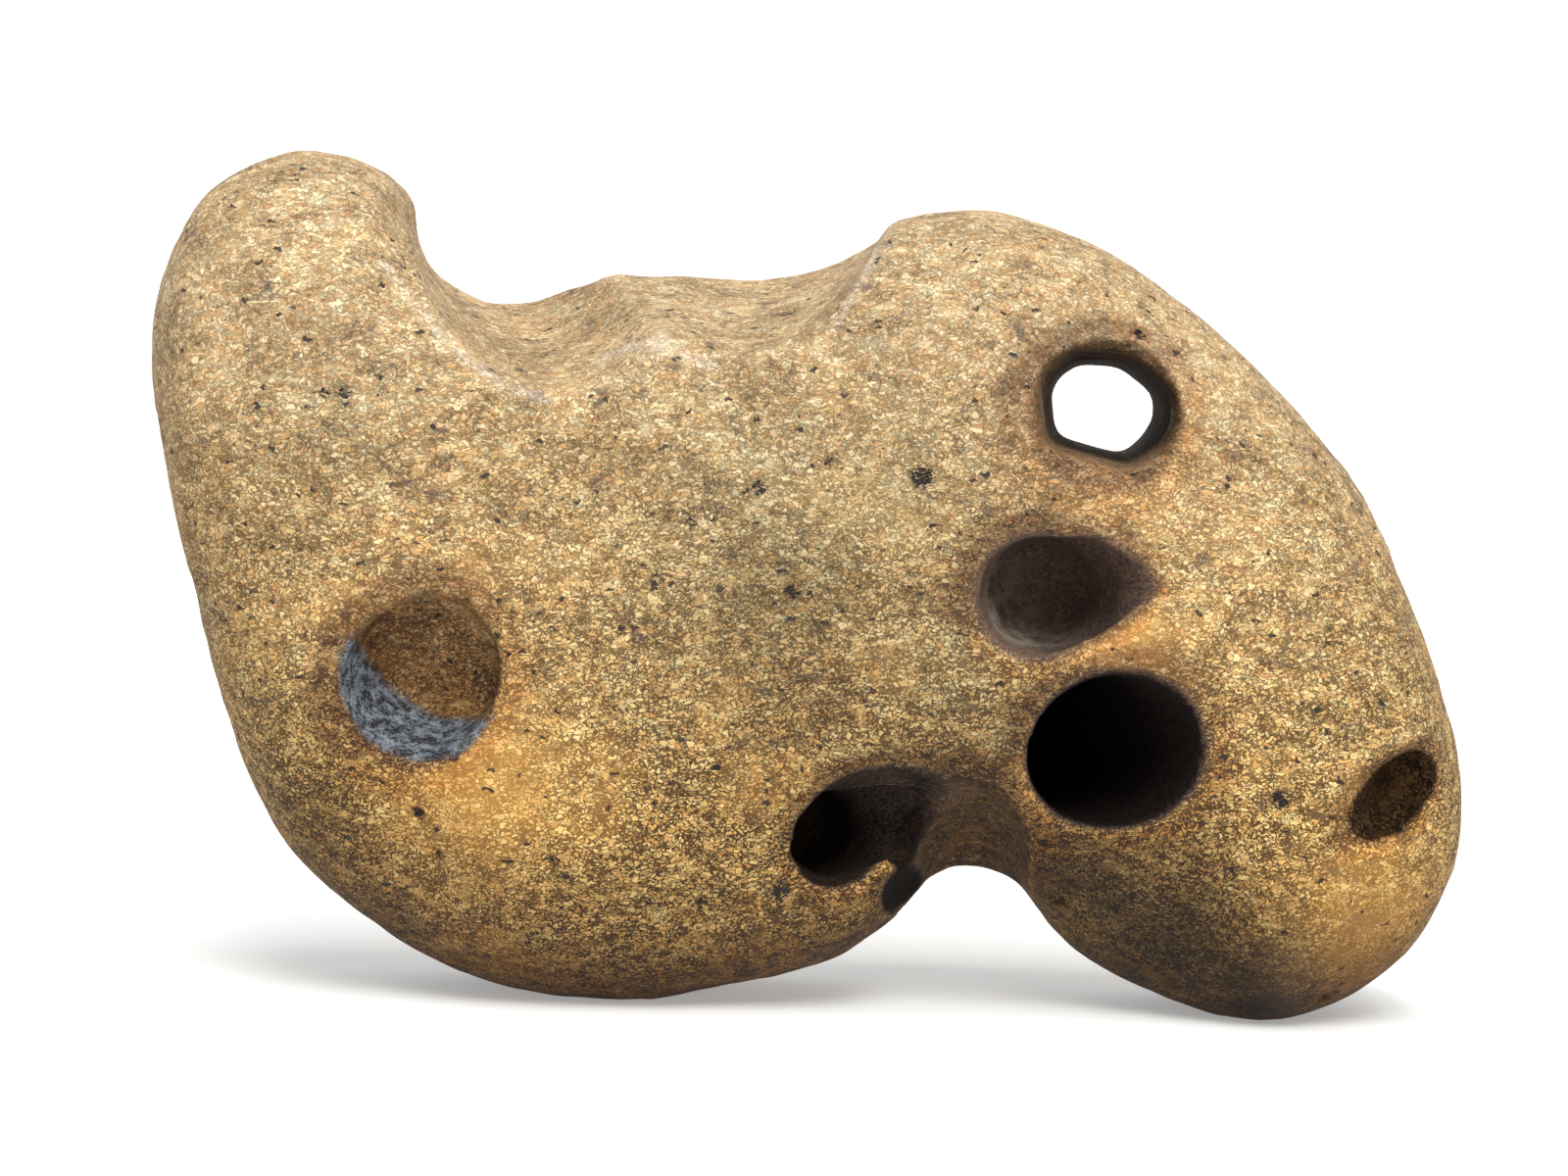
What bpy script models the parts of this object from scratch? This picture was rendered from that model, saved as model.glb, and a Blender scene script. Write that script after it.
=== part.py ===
"""A hag stone: a sea-worn sandstone pebble that boring shellfish have drilled, standing on its two lower lobes.

The stone is one piece. It is lofted from upright slices, then the shellfish burrows and the scoops that are
left of broken ones are cut from it, and the sea's wear rounds every rim. Lengths are in metres.
X runs along the stone, Z is up and the front, which the through hole's wider mouth faces, looks along -Y.
"""

from typing import NamedTuple

import bmesh
import bpy
import numpy as np

MM = 0.001

# Driving dimensions
FRONT_DEPTH = 24 * MM  # from the middle plane to the flattest part of the front
BACK_DEPTH = 23 * MM
SWELL = 0.45 * MM  # how far the front and back undulate
GROUND = 0.0  # the level of the two worn feet that the stone stands on
GROUND_BLOCK = (265 * MM, 132 * MM, 20 * MM)
BOX_MIDDLE = (0.3, 0.4, 0.0)  # in millimetres, among the slices and burrows: it becomes the origin

# How finely the form is made
SLICES_ALONG = 130
POINTS_ROUND = 112
BURROW_STATIONS = 22
BURROW_SIDES = 8  # a curve's bevel resolution
WEAR_VOXEL = 0.95 * MM
WEAR_PASSES = 6
KEEP_FACES = 0.094
STONE_NODE = "stone"


class Slice(NamedTuple):
    """One upright slice, in millimetres: its top and bottom points, and how far it bulges to each side.

    front and back are shares of the full depths. lean moves an edge back from the middle plane, and a
    larger fullness makes it squarer."""

    top_x: float
    top_z: float
    bottom_x: float
    bottom_z: float
    front: float = 1.0
    back: float = 1.0
    top_lean: float = 0.0
    bottom_lean: float = 0.0
    top_fullness: float = 2.6
    bottom_fullness: float = 2.6


class Burrow(NamedTuple):
    """A burrow or scoop: x, y, z and radius along its middle line, in millimetres, from the mouth inwards.

    dome is how far its inner end bulges, as a share of the last radius."""

    dome: float
    stations: list


SLICES = [
    Slice(-65.6, 63.8, -65.6, 63.8, 0.0, 0.0),
    Slice(-65.0, 69.7, -65.1, 57.9, 0.40, 0.40),
    Slice(-63.4, 75.0, -63.7, 50.5, 0.60, 0.58),
    Slice(-59.2, 80.8, -61.2, 40.1, 0.80, 0.78),
    Slice(-51.3, 84.0, -58.5, 30.6, 0.92, 0.90, 1.0),
    Slice(-43.4, 82.0, -55.2, 21.4, 0.97, 0.96, 3.0, 0.0, 3.0),
    Slice(-40.8, 77.0, -50.5, 13.5, 1.0, 1.0, 4.0, 0.0, 4.0),
    Slice(-37.5, 72.6, -44.6, 8.0, 1.0, 1.0, 4.0, 0.0, 4.5),
    Slice(-31.5, 71.0, -38.0, 3.8, 1.0, 1.0, 4.0, 0.0, 4.8),
    Slice(-24.8, 72.4, -29.6, 0.7, 1.0, 1.0, 4.0, 0.0, 4.8, 3.0),
    Slice(-16.0, 73.8, -16.8, -0.6, 1.0, 1.0, 4.0, 0.0, 4.8, 3.2),
    Slice(-5.0, 74.2, -7.0, 1.3, 1.0, 1.0, 4.0, 0.0, 4.8, 3.2),
    Slice(2.5, 75.8, 3.0, 4.0, 1.0, 1.0, 4.0, 2.0, 4.5, 3.6),
    Slice(7.2, 78.3, 9.2, 8.1, 1.0, 1.0, 2.0, 4.0, 3.4, 4.4),
    Slice(11.8, 79.6, 14.0, 12.0, 1.0, 1.0, 1.0, 5.0, 2.6, 4.8),
    Slice(16.8, 79.9, 18.2, 12.8, 1.0, 1.0, 0.0, 5.0, 2.6, 4.8),
    Slice(22.7, 78.6, 22.9, 11.5, 1.0, 1.0, 0.0, 4.0, 2.6, 3.6),
    Slice(30.1, 75.6, 26.2, 7.7, 1.0, 1.0, 0.0, 2.0, 2.6, 2.4),
    Slice(36.5, 71.6, 31.5, 3.6, 0.99, 1.0, 0.0, 0.0, 2.6, 2.2),
    Slice(42.9, 66.6, 39.0, 0.6, 0.97, 1.0, 0.0, 0.0, 2.6, 2.5),
    Slice(48.8, 60.6, 46.9, -0.6, 0.93, 0.97, 0.0, 0.0, 2.6, 3.2),
    Slice(54.8, 53.1, 54.9, 1.5, 0.86, 0.9),
    Slice(59.2, 44.1, 60.7, 5.9, 0.74, 0.78),
    Slice(62.9, 35.2, 64.3, 11.7, 0.56, 0.6),
    Slice(65.4, 28.7, 65.9, 17.4, 0.36, 0.4),
    Slice(66.2, 22.8, 66.2, 22.8, 0.0, 0.0),
]

BURROWS = {
    "through_hole": Burrow(0.0, [
        (26.8, -33.0, 57.9, 9.4),
        (28.0, -23.5, 58.9, 6.9),
        (29.0, -13.0, 59.6, 6.1),
        (30.4, 2.0, 60.6, 5.6),
        (31.9, 19.0, 61.7, 5.4),
        (33.4, 32.0, 62.7, 7.6),
    ]),
    "deep_burrow": Burrow(0.7, [
        (32.2, -34.0, 26.6, 8.4),
        (30.1, -25.0, 26.7, 7.5),
        (28.7, -19.0, 26.9, 7.2),
        (26.0, -10.0, 27.3, 7.2),
        (22.4, -1.0, 27.8, 7.2),
        (19.4, 6.0, 28.4, 6.8),
    ]),
    "egg_pocket": Burrow(0.7, [
        (21.2, -30.0, 41.0, 6.8),
        (21.9, -23.0, 41.3, 5.8),
        (22.4, -17.0, 41.6, 5.4),
        (23.0, -12.5, 41.9, 4.8),
    ]),
    "egg_pocket_slope": Burrow(0.7, [
        (32.4, -25.0, 42.8, 0.8),
        (29.9, -24.0, 42.6, 2.8),
        (26.6, -22.6, 42.2, 4.9),
        (23.8, -19.0, 41.8, 5.6),
        (23.0, -14.0, 41.8, 5.0),
    ]),
    "slanted_pocket": Burrow(0.15, [
        (-39.2, -32.5, 26.4, 7.6),
        (-37.1, -25.5, 30.2, 7.1),
        (-36.0, -22.1, 32.1, 7.0),
        (-34.9, -18.6, 34.0, 6.9),
    ]),
    "broken_burrow_slot": Burrow(0.7, [
        (15.5, -25.5, 21.6, 4.0),
        (11.0, -23.0, 20.7, 4.3),
        (6.8, -21.5, 19.4, 4.6),
        (3.9, -19.5, 17.9, 4.6),
        (2.2, -16.0, 17.2, 4.4),
    ]),
    "broken_burrow": Burrow(0.7, [
        (13.6, -14.2, 20.4, 3.6),
        (10.5, -14.8, 20.2, 4.0),
        (6.0, -14.5, 18.8, 4.5),
        (2.0, -11.0, 17.6, 4.5),
        (-0.6, -4.0, 17.8, 4.2),
    ]),
    "notch_ceiling": Burrow(0.3, [
        (14.8, -32.0, 20.8, 6.2),
        (15.6, -24.0, 18.9, 5.8),
        (17.2, -8.0, 13.8, 5.6),
        (18.8, 6.0, 7.4, 5.4),
        (20.2, 16.0, 3.8, 5.4),
    ]),
    "notch_ceiling_left": Burrow(0.3, [
        (12.0, -32.0, 20.8, 5.2),
        (12.4, -24.0, 19.8, 4.8),
        (13.8, -13.0, 16.8, 4.6),
    ]),
    "notch_side": Burrow(0.5, [
        (11.9, -27.0, 10.4, 4.2),
        (12.4, -16.0, 11.2, 4.1),
        (14.6, -6.0, 10.6, 4.0),
        (17.8, 4.0, 9.4, 3.8),
    ]),
    "left_scoop": Burrow(0.0, [
        (-23.6, -33.0, 69.6, 14.4),
        (-25.3, -23.0, 72.1, 12.6),
        (-28.6, -6.0, 76.6, 11.9),
        (-33.0, 10.0, 79.2, 9.3),
        (-36.4, 28.0, 82.2, 9.0),
    ]),
    "right_scoop": Burrow(0.0, [
        (-7.8, -33.0, 71.4, 12.4),
        (-7.3, -23.0, 74.8, 12.2),
        (-7.4, -6.0, 85.4, 17.0),
        (-6.6, 10.0, 93.0, 19.4),
        (-6.0, 28.0, 99.0, 22.0),
    ]),
    "middle_scoop": Burrow(0.0, [
        (-15.0, -33.0, 81.0, 16.0),
        (-15.0, -22.0, 81.8, 16.0),
        (-15.5, -10.0, 85.2, 16.5),
        (-16.0, 2.0, 89.4, 17.0),
        (-16.0, 28.0, 98.0, 22.0),
    ]),
    "side_dent": Burrow(0.7, [
        (53.8, -26.0, 19.8, 4.0),
        (56.6, -21.0, 22.4, 3.4),
        (58.4, -17.0, 25.0, 2.8),
    ]),
    "back_hollow": Burrow(0.2, [
        (-29.0, 40.0, 49.0, 12.0),
        (-28.0, 30.0, 46.0, 10.0),
        (-27.0, 22.0, 43.0, 6.5),
    ]),
    "back_pit": Burrow(0.6, [
        (9.5, 32.0, 29.0, 6.0),
        (8.5, 23.5, 30.0, 4.4),
        (8.0, 20.0, 30.5, 3.6),
    ]),
}


def clear_scene():
    for item in list(bpy.data.objects):
        bpy.data.objects.remove(item)


def smooth_rows(rows, count):
    """Rows read at even steps along the Catmull-Rom curve through them, all columns at once."""
    rows = np.array(rows, float)
    padded = np.vstack([2 * rows[0] - rows[1], rows, 2 * rows[-1] - rows[-2]])
    place = np.linspace(0, len(rows) - 1, count)
    start = np.minimum(place.astype(int), len(rows) - 2)
    t = (place - start)[:, None]
    before, here, after, beyond = (padded[start + shift] for shift in range(4))
    return 0.5 * (
        2 * here
        + (after - before) * t
        + (2 * before - 5 * here + 4 * after - beyond) * t**2
        + (3 * here - before - 3 * after + beyond) * t**3
    )


def slice_ring(row):
    """The slice's outline: a superellipse quarter from each of its top and bottom to each of its sides.

    Three crossing waves swell its front and back a little."""
    form = Slice(*row)
    angle = np.linspace(0, 2 * np.pi, POINTS_ROUND, endpoint=False)
    up, out = np.cos(angle), np.sin(angle)
    fullness = np.where(up >= 0, form.top_fullness, form.bottom_fullness)
    rise = np.abs(up) ** (2 / fullness)
    bulge = np.abs(out) ** (2 / fullness)
    share = (1 + np.sign(up) * rise) / 2
    x = form.bottom_x + (form.top_x - form.bottom_x) * share
    z = form.bottom_z + (form.top_z - form.bottom_z) * share
    edge_y = np.where(up >= 0, form.top_lean, form.bottom_lean) * rise
    side_y = np.where(out >= 0, -form.front * FRONT_DEPTH, form.back * BACK_DEPTH) / MM
    waves = np.sin(0.09 * x + 0.05 * z) + np.sin(0.12 * z - 0.04 * x + 2) + np.sin(0.17 * x - 0.13 * z + 4)
    y = edge_y + (side_y + waves * SWELL / MM) * bulge
    return (np.column_stack([x, y, z]) - BOX_MIDDLE) * MM


def make_pebble():
    """The pebble before the burrows: its slices' rings, bridged from end to end."""
    rows = smooth_rows(SLICES, SLICES_ALONG)
    mesh = bpy.data.meshes.new(STONE_NODE)
    work = bmesh.new()
    rings = [[work.verts.new(point) for point in slice_ring(row)] for row in rows[1:-1]]
    ends = [work.verts.new(slice_ring(row).mean(axis=0)) for row in (rows[0], rows[-1])]
    for ring, following in zip(rings, rings[1:]):
        for i in range(POINTS_ROUND):
            work.faces.new((ring[i - 1], ring[i], following[i], following[i - 1]))
    for end, ring in zip(ends, (rings[0], rings[-1])):
        for i in range(POINTS_ROUND):
            work.faces.new((end, ring[i], ring[i - 1]))
    bmesh.ops.recalc_face_normals(work, faces=work.faces)
    work.to_mesh(mesh)
    work.free()
    stone = bpy.data.objects.new(STONE_NODE, mesh)
    bpy.context.scene.collection.objects.link(stone)
    return stone


def as_cutter(item):
    item.hide_render = True
    item.display_type = "WIRE"
    bpy.context.scene.collection.objects.link(item)
    return item


def burrow_rows(burrow):
    """The burrow's middle line and radius at even steps, with its domed inner end."""
    rows = smooth_rows(burrow.stations, BURROW_STATIONS)
    if burrow.dome == 0:
        return rows
    heading = rows[-1, :3] - rows[-2, :3]
    heading /= np.linalg.norm(heading)
    radius = rows[-1, 3]
    angle = np.linspace(0, np.pi / 2, 7)[1:]
    dome = rows[-1, :3] + heading * radius * burrow.dome * np.sin(angle)[:, None]
    return np.vstack([rows, np.column_stack([dome, radius * np.maximum(np.cos(angle), 0.05)])])


def make_burrow(name, burrow):
    """A cutter for one burrow: a tube along its middle line, closed at both ends."""
    rows = burrow_rows(burrow)
    curve = bpy.data.curves.new(name, "CURVE")
    curve.dimensions = "3D"
    curve.bevel_depth = MM
    curve.bevel_resolution = BURROW_SIDES
    curve.use_fill_caps = True
    spline = curve.splines.new("POLY")
    spline.points.add(len(rows) - 1)
    for point, station in zip(spline.points, rows):
        point.co = (*(station[:3] - BOX_MIDDLE) * MM, 1)
        point.radius = station[3]
    guide = bpy.data.objects.new(name, curve)
    bpy.context.scene.collection.objects.link(guide)
    graph = bpy.context.evaluated_depsgraph_get()
    mesh = bpy.data.meshes.new_from_object(guide.evaluated_get(graph))
    bpy.data.objects.remove(guide)
    work = bmesh.new()
    work.from_mesh(mesh)
    bmesh.ops.remove_doubles(work, verts=work.verts, dist=0.00001)
    bmesh.ops.recalc_face_normals(work, faces=work.faces)
    work.to_mesh(mesh)
    work.free()
    return as_cutter(bpy.data.objects.new(name + "_cutter", mesh))


def make_ground():
    """A block whose top is the ground: it takes off what would sink below the two feet."""
    mesh = bpy.data.meshes.new("ground_cutter")
    work = bmesh.new()
    bmesh.ops.create_cube(work, size=1)
    bmesh.ops.scale(work, vec=GROUND_BLOCK, verts=work.verts)
    bmesh.ops.translate(work, vec=(0, 0, GROUND - GROUND_BLOCK[2] / 2), verts=work.verts)
    work.to_mesh(mesh)
    work.free()
    return as_cutter(bpy.data.objects.new("ground_cutter", mesh))


def cut(stone, cutter):
    modifier = stone.modifiers.new(cutter.name, "BOOLEAN")
    modifier.operation = "DIFFERENCE"
    modifier.object = cutter


def wear(stone):
    """Rounds every rim as the sea has, then thins the faces where the stone is flattest."""
    remesh = stone.modifiers.new("wear", "REMESH")
    remesh.mode = "VOXEL"
    remesh.voxel_size = WEAR_VOXEL
    smooth = stone.modifiers.new("rounding", "SMOOTH")
    smooth.factor = 0.5
    smooth.iterations = WEAR_PASSES
    thin = stone.modifiers.new("thinning", "DECIMATE")
    thin.ratio = KEEP_FACES
    thin.use_collapse_triangulate = True


def sandstone():
    material = bpy.data.materials.new("ochre_sandstone")
    material.use_nodes = True
    surface = material.node_tree.nodes["Principled BSDF"]
    surface.inputs["Base Color"].default_value = (0.36, 0.23, 0.10, 1)
    surface.inputs["Roughness"].default_value = 0.85
    surface.inputs["Metallic"].default_value = 0.0
    return material


def main():
    clear_scene()
    stone = make_pebble()
    for name, burrow in BURROWS.items():
        cut(stone, make_burrow(name, burrow))
    wear(stone)
    cut(stone, make_ground())
    stone.data.materials.append(sandstone())
    stone.data.shade_smooth()


main()
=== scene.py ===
"""A hag stone: a sea-worn sandstone pebble that boring shellfish have drilled, one hole right through it.

It stands on its two lower lobes. X runs along it, Z is up and its front looks along -Y.
Shapes are worked out in millimetres and become metres when a mesh is made."""

import math

import bmesh
import bpy
import numpy as np
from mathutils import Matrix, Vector


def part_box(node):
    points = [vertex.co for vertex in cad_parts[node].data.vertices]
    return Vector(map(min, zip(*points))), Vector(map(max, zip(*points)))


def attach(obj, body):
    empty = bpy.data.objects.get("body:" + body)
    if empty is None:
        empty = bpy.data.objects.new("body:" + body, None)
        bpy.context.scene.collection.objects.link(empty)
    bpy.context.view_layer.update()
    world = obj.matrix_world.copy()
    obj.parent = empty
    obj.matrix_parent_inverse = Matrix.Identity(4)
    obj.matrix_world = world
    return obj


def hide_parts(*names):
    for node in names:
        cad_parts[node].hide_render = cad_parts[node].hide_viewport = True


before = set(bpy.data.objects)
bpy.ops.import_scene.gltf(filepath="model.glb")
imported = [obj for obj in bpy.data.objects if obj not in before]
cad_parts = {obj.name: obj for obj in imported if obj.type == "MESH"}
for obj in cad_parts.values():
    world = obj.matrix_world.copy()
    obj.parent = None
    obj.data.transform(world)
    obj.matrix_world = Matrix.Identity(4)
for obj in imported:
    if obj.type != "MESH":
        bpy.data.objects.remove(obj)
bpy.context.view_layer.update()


# THE PEBBLE
# The lump of ochre sandstone that the sea rolled smooth: a raised lobe at the upper left, a dip in the top
# edge, a humped right end, and a belly and a foot that it stands on. It is upright slices set side by side
# along X and joined by a skin.

MM = 0.001
FRONT_DEPTH = 24.0
BACK_DEPTH = 23.0
SWELL = 0.45
SWELL_WAVES = [(0.09, 0.05, 0.0), (-0.04, 0.12, 2.0), (0.17, -0.13, 4.0)]  # radians a mm along x, z; start
BOX_MIDDLE = (0.3, 0.4, 0.0)
SLICES_ALONG = 190
POINTS_ROUND = 150
SLICE_MEASURES = [
    # top x, z, bottom x, z, front and back as shares, top and bottom lean, top and bottom fullness
    (-65.6, 63.8, -65.6, 63.8, 0.0, 0.0, 0.0, 0.0, 2.6, 2.6),
    (-65.0, 69.7, -65.1, 57.9, 0.40, 0.40, 0.0, 0.0, 2.6, 2.6),
    (-63.4, 75.0, -63.7, 50.5, 0.60, 0.58, 0.0, 0.0, 2.6, 2.6),
    (-59.2, 80.8, -61.2, 40.1, 0.80, 0.78, 0.0, 0.0, 2.6, 2.6),
    (-51.3, 84.0, -58.5, 30.6, 0.92, 0.90, 1.0, 0.0, 2.6, 2.6),
    (-43.4, 82.0, -55.2, 21.4, 0.97, 0.96, 3.0, 0.0, 3.0, 2.6),
    (-40.8, 77.0, -50.5, 13.5, 1.0, 1.0, 4.0, 0.0, 4.0, 2.6),
    (-37.5, 72.6, -44.6, 8.0, 1.0, 1.0, 4.0, 0.0, 4.5, 2.6),
    (-31.5, 71.0, -38.0, 3.8, 1.0, 1.0, 4.0, 0.0, 4.8, 2.6),
    (-24.8, 72.4, -29.6, 0.7, 1.0, 1.0, 4.0, 0.0, 4.8, 3.0),
    (-16.0, 73.8, -16.8, -0.6, 1.0, 1.0, 4.0, 0.0, 4.8, 3.2),
    (-5.0, 74.2, -7.0, 1.3, 1.0, 1.0, 4.0, 0.0, 4.8, 3.2),
    (2.5, 75.8, 3.0, 4.0, 1.0, 1.0, 4.0, 2.0, 4.5, 3.6),
    (7.2, 78.3, 9.2, 8.1, 1.0, 1.0, 2.0, 4.0, 3.4, 4.4),
    (11.8, 79.6, 14.0, 12.0, 1.0, 1.0, 1.0, 5.0, 2.6, 4.8),
    (16.8, 79.9, 18.2, 12.8, 1.0, 1.0, 0.0, 5.0, 2.6, 4.8),
    (22.7, 78.6, 22.9, 11.5, 1.0, 1.0, 0.0, 4.0, 2.6, 3.6),
    (30.1, 75.6, 26.2, 7.7, 1.0, 1.0, 0.0, 2.0, 2.6, 2.4),
    (36.5, 71.6, 31.5, 3.6, 0.99, 1.0, 0.0, 0.0, 2.6, 2.2),
    (42.9, 66.6, 39.0, 0.6, 0.97, 1.0, 0.0, 0.0, 2.6, 2.5),
    (48.8, 60.6, 46.9, -0.6, 0.93, 0.97, 0.0, 0.0, 2.6, 3.2),
    (54.8, 53.1, 54.9, 1.5, 0.86, 0.9, 0.0, 0.0, 2.6, 2.6),
    (59.2, 44.1, 60.7, 5.9, 0.74, 0.78, 0.0, 0.0, 2.6, 2.6),
    (62.9, 35.2, 64.3, 11.7, 0.56, 0.6, 0.0, 0.0, 2.6, 2.6),
    (65.4, 28.7, 65.9, 17.4, 0.36, 0.4, 0.0, 0.0, 2.6, 2.6),
    (66.2, 22.8, 66.2, 22.8, 0.0, 0.0, 0.0, 0.0, 2.6, 2.6),
]


def smooth_rows(rows, count):
    """Rows read at even steps along the Catmull-Rom curve through them, which is a cubic of the place
    between two rows."""
    rows = np.array(rows, float)
    padded = np.vstack([2 * rows[0] - rows[1], rows, 2 * rows[-1] - rows[-2]])
    place = np.linspace(0, len(rows) - 1, count)
    start = np.minimum(place.astype(int), len(rows) - 2)
    t = (place - start)[:, None]
    before, here, after, beyond = (padded[start + shift] for shift in range(4))
    return 0.5 * (
        2 * here
        + (after - before) * t
        + (2 * before - 5 * here + 4 * after - beyond) * t**2
        + (3 * here - before - 3 * after + beyond) * t**3
    )


def pebble_surface(rows, around):
    """A superellipse swept along the stone. Along it, every measure of a slice follows its smooth curve.
    Round a slice, height goes with the cosine and bulge with the sine of the angle, each to the power of 2
    over the slice's fullness, and three crossing sine waves of the place swell the bulge."""
    columns = [column[:, None] for column in rows.T]
    top_x, top_z, bottom_x, bottom_z, front, back, top_lean, bottom_lean, top_full, bottom_full = columns
    angle = np.linspace(0, 2 * np.pi, around, endpoint=False)[None, :]
    up, out = np.cos(angle), np.sin(angle)
    fullness = np.where(up >= 0, top_full, bottom_full)
    rise = np.abs(up) ** (2 / fullness)
    bulge = np.abs(out) ** (2 / fullness)
    share = (1 + np.sign(up) * rise) / 2
    x = bottom_x + (top_x - bottom_x) * share
    z = bottom_z + (top_z - bottom_z) * share
    edge_y = np.where(up >= 0, top_lean, bottom_lean) * rise
    side_y = np.where(out >= 0, -front * FRONT_DEPTH, back * BACK_DEPTH)
    waves = sum(np.sin(by_x * x + by_z * z + start) for by_x, by_z, start in SWELL_WAVES)
    y = edge_y + (side_y + waves * SWELL) * bulge
    return np.stack([x, y, z], axis=2) - BOX_MIDDLE


def closed_skin(name, grid):
    """An object whose skin joins a grid's rings with quads and closes each end with a fan of triangles
    from its middle."""
    rings, around = grid.shape[:2]
    points = np.vstack([grid.reshape(-1, 3), grid[0].mean(axis=0), grid[-1].mean(axis=0)])
    ring, spoke = np.meshgrid(np.arange(rings - 1), np.arange(around), indexing="ij")
    here = ring * around + spoke
    beside = ring * around + (spoke + 1) % around
    quads = np.stack([here, beside, beside + around, here + around], axis=-1).reshape(-1, 4)
    first = np.arange(around)
    second = (first + 1) % around
    last = (rings - 1) * around
    start_fan = np.stack([np.full(around, rings * around), second, first], axis=-1)
    end_fan = np.stack([np.full(around, rings * around + 1), last + first, last + second], axis=-1)
    mesh = bpy.data.meshes.new(name)
    mesh.from_pydata((points * MM).tolist(), [], quads.tolist() + start_fan.tolist() + end_fan.tolist())
    work = bmesh.new()
    work.from_mesh(mesh)
    bmesh.ops.recalc_face_normals(work, faces=work.faces)
    work.to_mesh(mesh)
    work.free()
    item = bpy.data.objects.new(name, mesh)
    bpy.context.scene.collection.objects.link(item)
    return item


slices = smooth_rows(SLICE_MEASURES, SLICES_ALONG)
pebble = closed_skin("pebble", pebble_surface(slices[1:-1], POINTS_ROUND))


# THE BURROWS
# Shellfish bored round tunnels into the soft rock, and the sea broke some of them open: scoops in the top
# edge and an arch below are what is left of those. Each is a tube along a middle line, cut out of the
# pebble, and all are round but the through hole, whose throat has corners.

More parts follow.
